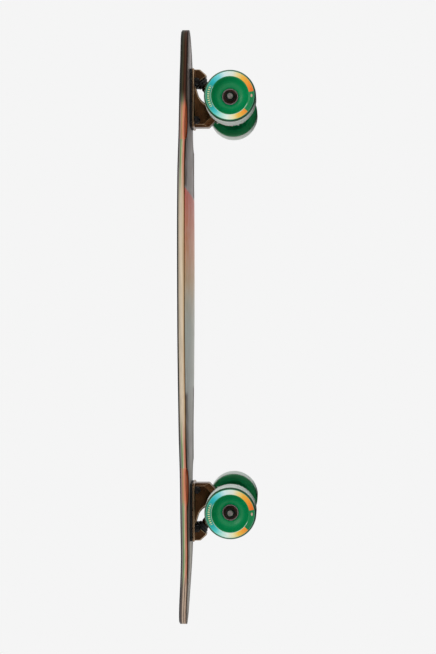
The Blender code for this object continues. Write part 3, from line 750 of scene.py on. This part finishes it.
def make_steering_stack(truck):
    name, d = truck.name, truck.reach
    line = along(truck.ring, truck.steer)
    cup = [(0.0, d + 0.0066), (CUP_OUT - 0.0008, d + 0.0066), (CUP_OUT, d + 0.0058),
           (CUP_OUT, d - GAP), (0.0091, d - GAP), (0.0095, d - 0.0008), (0.0095, d - 0.0030),
           (0.0091, d - 0.0037), (0.0081, d - 0.0042), (0.0077, d - 0.0052),
           (0.0078, d - 0.0062), (0.0073, d - 0.0074), (0.0064, d - 0.0079),
           (STUB + 0.00045, d - 0.0079), (STUB + 0.00025, d - 0.0070),
           (STUB + 0.00025, d + 0.0058), (0.0, d + 0.0058)]
    new_piece(f"pivot_bush_{name}", spun(cup, line, 56), CUP, "board",
              [f"pivot_cup_{name}"])

    pin = along(truck.seat, truck.kingpin)
    radius, hole = 0.0048, 0.0051
    ring_top, ring_low, washer_low = 0.0138, 0.0218, 0.0313
    nut_top = washer_low + 0.0016
    nut_low = nut_top + 0.006
    end = nut_low + 0.002
    shaft = rod_profile(radius, -0.0223, end, [(washer_low - 0.002, end - 0.0007)])
    head = spun([(0.0, -0.0290), (0.0062, -0.0290), (0.0074, -0.0284), (0.0078, -0.0275),
                 (0.0078, -0.0223), (0.0, -0.0223)], pin, 36)
    new_piece(f"kingpin_bolt_{name}", join(spun(shaft, pin, 40), head), ZINC, "board",
              [f"kingpin_{name}"])
    new_piece(f"kingpin_lock_nut_{name}", hex_nut(0.0142, nut_top, nut_low - 0.0014, hole, pin,
                                                  0.0014),
              ZINC, "board", [f"kingpin_nut_{name}"])

    rim = 0.0102
    washer = [(hole, 0.0), (rim - 0.0004, 0.0), (rim + 0.0004, 0.0003), (rim + 0.0006, 0.0009),
              (rim + 0.0006, 0.0024), (rim + 0.0003, 0.0026), (rim, 0.0024), (rim, 0.0016),
              (rim - 0.0004, 0.0013), (hole, 0.0013)]
    top = [(r, h + GAP) for r, h in washer]
    bottom = [(r, washer_low + 0.0013 - h) for r, h in washer]
    new_piece(f"board_cup_washer_{name}", spun(top, pin, 56, True), ZINC, "board",
              [f"washer_top_{name}"])
    new_piece(f"road_cup_washer_{name}", spun(bottom, pin, 56, True), ZINC, "board",
              [f"washer_bottom_{name}"])

    low, high, wide = 0.0019, ring_top - GAP, 0.0096
    barrel = [(hole, low), (wide - 0.0008, low), (wide - 0.0002, low + 0.0007),
              (wide - 0.0001, low + 0.0030), (wide - 0.0006, low + 0.0055),
              (wide - 0.0001, high - 0.0030), (wide - 0.0002, high - 0.0007),
              (wide - 0.0008, high), (hole, high)]
    piece = new_piece(f"board_bushing_{name}", spun(barrel, pin, 56, True), BUSHING, "board",
                      [f"bushing_board_{name}"])
    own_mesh(piece)
    low, high = ring_low + GAP, washer_low - GAP
    cone = [(hole, low), (wide - 0.0008, low), (wide - 0.0002, low + 0.0007),
            (wide - 0.0003, low + 0.0030), (wide - 0.0014, high - 0.0008),
            (wide - 0.0022, high), (hole, high)]
    piece = new_piece(f"road_bushing_{name}", spun(cone, pin, 56, True), BUSHING, "board",
                      [f"bushing_road_{name}"])
    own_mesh(piece)


# --- fixings ---------------------------------------------------------------
def make_fixings(truck):
    head_top = DECK_TOP - 0.0002
    for label in truck.bolts():
        low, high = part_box(f"deck_bolt_{label}")
        spot = Matrix.Translation(((low.x + high.x) / 2, (low.y + high.y) / 2, 0))
        shaft = rod_profile(0.00235, low.z, head_top - 0.0028,
                            [(low.z + 0.0008, head_top - 0.006)], 0.0008, 0.0003)[:-3]
        shaft += [(0.00235, head_top - 0.0028), (0.0045, head_top - 0.0004),
                  (0.0046, head_top - 0.0001), (0.0043, head_top), (0.0, head_top)]
        bm = spun(shaft, Matrix.Identity(4), 28)
        for turn in (0.0, math.pi / 2):
            slot_tool = bmesh.new()
            bmesh.ops.create_cube(slot_tool, size=1.0, matrix=(
                Matrix.Translation((0, 0, head_top)) @ Matrix.Rotation(turn + 0.4, 4, "Z")
                @ Matrix.Diagonal((0.0052, 0.0011, 0.0030, 1.0))))
            bm = carve(bm, slot_tool)
        bmesh.ops.transform(bm, matrix=spot, verts=bm.verts)
        new_piece(f"deck_screw_{label}", bm, BLACK, "board",
                  [f"deck_bolt_{label}"])

        nut_low, nut_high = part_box(f"lock_nut_{label}")
        flip = spot @ Matrix.Translation((0, 0, nut_high.z)) @ Matrix.Rotation(math.pi, 4, "X")
        height = nut_high.z - nut_low.z
        new_piece(f"lock_nut_hex_{label}", hex_nut(0.0095, 0.0, height - 0.0018, 0.00262, flip,
                                                   0.0018),
                  BLACK, "board", [f"lock_nut_{label}"])


# --- axles and wheels ------------------------------------------------------
WHEEL_R, WHEEL_H = 0.035, 0.0255
SEAT_R, FACE_H, LAND_H = 0.01125, 0.0124, 0.0047


def make_axle(truck):
    low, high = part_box(f"axle_{truck.name}")
    reach = (high.y - low.y) / 2
    thread = 0.013
    profile = rod_profile(0.0039, -reach, reach,
                          [(-reach + 0.0008, -reach + thread), (reach - thread, reach - 0.0008)])
    new_piece(f"axle_rod_{truck.name}", spun(profile, along(truck.axle, (0, 1, 0)), 40),
              BRIGHT, truck.body, [f"axle_{truck.name}"])


def wheel_half():
    """Half of a wheel's section, from the bore out to the tread's middle."""
    r, h = WHEEL_R, WHEEL_H
    return [
        (0.0095, LAND_H - 0.0008), (0.0095, LAND_H), (SEAT_R, LAND_H), (SEAT_R, FACE_H - 0.0004),
        (SEAT_R + 0.0004, FACE_H), (0.0128, FACE_H + 0.0003), (0.0134, FACE_H + 0.0008),
        (0.0148, FACE_H + 0.0012), (0.0176, FACE_H + 0.0026), (0.0202, FACE_H + 0.0050),
        (0.0226, FACE_H + 0.0085), (0.0243, h - 0.0017), (0.0252, h - 0.0006), (0.0262, h - 0.0001),
        (0.0290, h), (0.0316, h), (0.0326, h - 0.0003), (0.0334, h - 0.0010),
        (0.0340, h - 0.0022), (0.0344, h - 0.0033), (r - 0.0002, h - 0.0045),
        (r, h - 0.0062), (r, h - 0.014), (r, 0.004),
    ]


def make_wheel(truck, label, sign, centre):
    out = along(centre, (0, sign, 0))
    half = wheel_half()
    profile = half + [(x, -y) for x, y in reversed(half)]
    new_piece(f"wheel_tyre_{label}", spun(profile, out, 120, True),
              wheel_green(f"wheel_urethane_{label}", centre, sign), f"{label}_wheel",
              [f"wheel_{label}"])

    for end, face in (("out", 1), ("in", -1)):
        outer = [(0.00945, 0.0050), (SEAT_R - 0.0006, 0.0050), (SEAT_R - 0.0003, 0.0053),
                 (SEAT_R - 0.0003, 0.0117), (SEAT_R - 0.0006, 0.0120), (0.00965, 0.0120),
                 (0.00945, 0.0118)]
        shield = [(0.00615, 0.0056), (0.00945, 0.0056), (0.00945, 0.0114), (0.0090, 0.0115),
                  (0.0074, 0.01135), (0.00615, 0.0114)]
        inner = [(0.00415, 0.0050), (0.00615, 0.0050), (0.00615, 0.0118), (0.0060, 0.0120),
                 (0.0044, 0.0120), (0.00415, 0.0118)]
        flip = out if face > 0 else out @ Matrix.Rotation(math.pi, 4, "X")
        parts = [spun(ring, flip, 56, True) for ring in (outer, inner)]
        cover = spun(shield, flip, 56, True)
        for face_made in cover.faces:
            face_made.material_index = 1
        new_piece(f"bearing_rings_{label}_{end}", join(*parts, cover), [BRIGHT, SHIELD],
                  f"{label}_wheel", [f"bearing_{label}_{end}"])
        gasket = [(0.0042, 0.0120), (0.0062, 0.0120), (0.0062, 0.0130), (0.0042, 0.0130)]
        thin = [(r, h + 0.0001) for r, h in gasket]
        new_piece(f"speed_washer_{label}_{end}", spun(thin, flip, 40, True), BRIGHT,
                  truck.body)

    tube = [(0.0042, -0.0046), (0.0053, -0.0046), (0.00545, -0.0044), (0.00545, 0.0044),
            (0.0053, 0.0046), (0.0042, 0.0046)]
    new_piece(f"spacer_tube_{label}", spun(tube, out, 32, True), ZINC, truck.body,
              [f"spacer_{label}"])
    nut_low = 0.0134
    new_piece(f"axle_lock_nut_{label}", hex_nut(0.0127, nut_low, nut_low + 0.0048, 0.00418, out,
                                                0.0016),
              BLACK, truck.body, [f"axle_nut_{label}"])


make_deck()
make_grip()
for truck in TRUCKS:
    make_castings(truck)
    make_riser(truck)
    make_steering_stack(truck)
    make_fixings(truck)
    make_axle(truck)
    for label, sign, centre in truck.wheels():
        make_wheel(truck, label, sign, centre)


# --- studio ----------------------------------------------------------------
def make_floor():
    """A pale floor that shows from above and lets light through from below."""
    bm = bmesh.new()
    bmesh.ops.create_grid(bm, x_segments=1, y_segments=1, size=6.0)
    mesh = bpy.data.meshes.new("studio_floor")
    bm.to_mesh(mesh)
    bm.free()
    finish = Finish("floor_paper", "f6f6f6", 0.8, Specular_IOR_Level=0.2)
    tree = finish.tree
    clear = finish.node("ShaderNodeBsdfTransparent")
    side = finish.node("ShaderNodeNewGeometry").outputs["Backfacing"]
    blend = finish.node("ShaderNodeMixShader", {0: side, 1: finish.shader.outputs[0],
                                                2: clear.outputs[0]})
    output = next(n for n in tree.nodes if n.type == "OUTPUT_MATERIAL")
    finish.feed(output, {"Surface": blend.outputs[0]})
    mesh.materials.append(finish.material)
    floor = bpy.data.objects.new("studio_floor", mesh)
    bpy.context.scene.collection.objects.link(floor)
    return floor


def make_lamp(name, place, aim, size, power, shines=True):
    """A round soft lamp that lights the board and leaves the floor to the open light."""
    data = bpy.data.lights.new(name, "AREA")
    data.shape, data.size, data.energy = "DISK", size, power
    lamp = bpy.data.objects.new(name, data)
    lamp.location = place
    lamp.rotation_euler = (Vector(aim) - Vector(place)).to_track_quat("-Z", "Y").to_euler()
    lamp.visible_camera = False
    lamp.visible_glossy = shines
    lamp.light_linking.receiver_collection = UNLIT
    bpy.context.scene.collection.objects.link(lamp)


def make_world():
    """Even pale surroundings that fall away towards the near side in gloss."""
    world = bpy.data.worlds.new("studio")
    world.use_nodes = True
    nodes, links = world.node_tree.nodes, world.node_tree.links

    def light(strength):
        made = nodes.new("ShaderNodeBackground")
        made.inputs[0].default_value = hue("f5f5f5")
        made.inputs[1].default_value = strength
        return made

    def choose(factor, first, second):
        made = nodes.new("ShaderNodeMixShader")
        links.new(factor, made.inputs[0])
        links.new(first.outputs[0], made.inputs[1])
        links.new(second.outputs[0], made.inputs[2])
        return made

    seen, lit, gloss = light(1.0), light(0.97), light(1.0)
    path = nodes.new("ShaderNodeLightPath")
    split = nodes.new("ShaderNodeSeparateXYZ")
    links.new(nodes.new("ShaderNodeTexCoord").outputs["Generated"], split.inputs[0])
    fall = nodes.new("ShaderNodeMapRange")
    fall.interpolation_type = "SMOOTHSTEP"
    for socket, value in zip(fall.inputs[1:5], (-0.97, -0.45, 0.04, 1.0)):
        socket.default_value = value
    links.new(split.outputs[1], fall.inputs[0])
    links.new(fall.outputs[0], gloss.inputs[1])
    studio = choose(path.outputs["Is Glossy Ray"], lit, gloss)
    studio = choose(path.outputs["Is Camera Ray"], studio, seen)
    links.new(studio.outputs[0], nodes["World Output"].inputs[0])
    bpy.context.scene.world = world


def make_camera():
    data = bpy.data.cameras.new("camera")
    data.lens, data.sensor_width = 82.12, 36.0
    data.clip_start, data.clip_end = 0.05, 40.0
    camera = bpy.data.objects.new("camera", data)
    camera.location = (0.01925, -2.10674, -0.02137)
    camera.rotation_euler = [math.radians(a) for a in (-179.0597, 87.9207, 91.4357)]
    bpy.context.scene.collection.objects.link(camera)
    bpy.context.scene.camera = camera


# The floor is left out of the lamps, so it stays even under the open light.
UNLIT = bpy.data.collections.new("left_out_of_the_lamps")
UNLIT.objects.link(make_floor())
UNLIT.collection_objects[0].light_linking.link_state = "EXCLUDE"
make_world()
make_lamp("key", (0.9, -1.7, 1.3), (0, 0, 0.06), 1.2, 9)
make_lamp("front", (0.0, -3.2, 0.5), (0, 0, 0.05), 1.4, 12, False)
make_lamp("rim", (-0.8, 1.6, 1.4), (0, 0, 0.08), 1.2, 7)
make_camera()
bpy.context.scene.view_settings.view_transform = "Standard"
